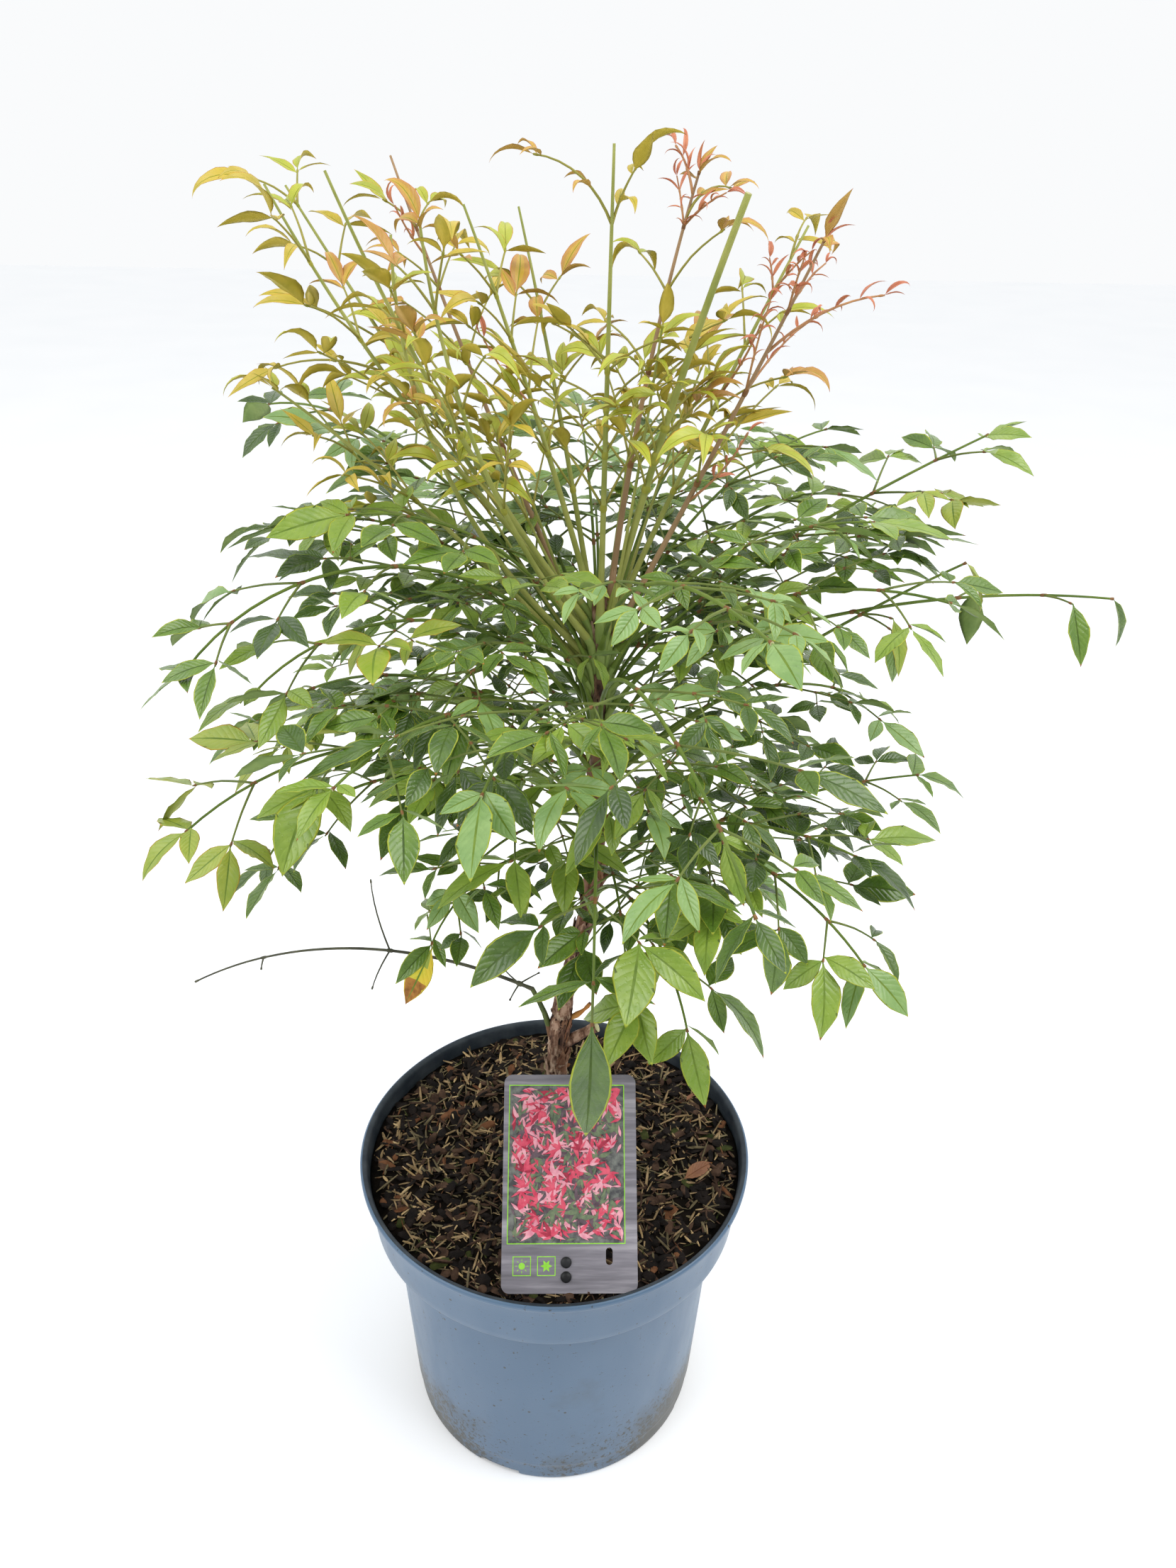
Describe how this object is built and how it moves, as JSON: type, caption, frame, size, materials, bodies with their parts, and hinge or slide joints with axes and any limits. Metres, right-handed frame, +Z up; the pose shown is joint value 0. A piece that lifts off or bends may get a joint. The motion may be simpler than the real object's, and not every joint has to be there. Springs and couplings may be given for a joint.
{
  "type": "heavenly bamboo in a nursery pot",
  "caption": "Heavenly bamboo with a slender trunk, arching compound leaves and bronze young growth, in a slate grey nursery pot of compost with a plant label on a peg.",
  "frame": {"origin": "centre of the pot's flat underside", "axes": "+Z up, along the pot's axis; +Y to the back of the plant; +X to its right, where the longest frond points"},
  "size_m": [0.517, 0.5208, 0.8011],
  "materials": {
    "pot_plastic": "satin, slate grey",
    "compost": "rough, bark compost",
    "label_card": "printed, semi-gloss",
    "peg_plastic": "satin, black",
    "bark": "rough, flaking bark",
    "dry_stem": "dry, grey green",
    "green_stem": "smooth, green",
    "foliage": "glossy leaf",
    "front_foliage": "glossy leaf with a pale margin",
    "young_foliage": "glossy young leaf"
  },
  "bodies": {
    "root": {"bare_twig": "dry_stem", "foliage_back_1": "foliage", "foliage_back_2": "foliage", "foliage_back_3": "foliage", "foliage_back_4": "foliage", "foliage_back_5": "foliage", "foliage_front_1": "front_foliage", "foliage_front_2": "front_foliage", "foliage_front_3": "front_foliage", "foliage_front_4": "front_foliage", "foliage_front_5": "front_foliage", "foliage_front_6": "front_foliage", "foliage_left_1": "young_foliage", "foliage_left_2": "foliage", "foliage_left_3": "foliage", "foliage_left_4": "foliage", "foliage_left_5": "front_foliage", "foliage_left_6": "foliage", "foliage_left_7": "foliage", "foliage_left_8": "foliage", "foliage_right_1": "foliage", "foliage_right_2": "foliage", "foliage_right_3": "foliage", "foliage_right_4": "foliage", "foliage_right_5": "foliage", "foliage_right_6": "foliage", "foliage_right_7": "front_foliage", "foliage_right_8": "foliage", "foliage_right_9": "foliage", "foliage_top_1": "young_foliage", "foliage_top_10": "young_foliage", "foliage_top_11": "young_foliage", "foliage_top_12": "young_foliage", "foliage_top_13": "young_foliage", "foliage_top_2": "young_foliage", "foliage_top_3": "young_foliage", "foliage_top_4": "young_foliage", "foliage_top_5": "young_foliage", "foliage_top_6": "young_foliage", "foliage_top_7": "young_foliage", "foliage_top_8": "young_foliage", "foliage_top_9": "young_foliage", "label": "label_card", "label_peg": "peg_plastic", "pot": "pot_plastic", "soil": "compost", "stalk_left_4": "green_stem", "stalk_right_1": "green_stem", "stalk_right_2": "green_stem", "stalk_top_1": "green_stem", "stalk_top_10": "green_stem", "stalk_top_11": "green_stem", "stalk_top_12": "green_stem", "stalk_top_13": "green_stem", "stalk_top_3": "green_stem", "stalk_top_4": "green_stem", "stalk_top_7": "green_stem", "stalk_top_9": "green_stem", "trunk": "bark"}
  },
  "joints": []
}
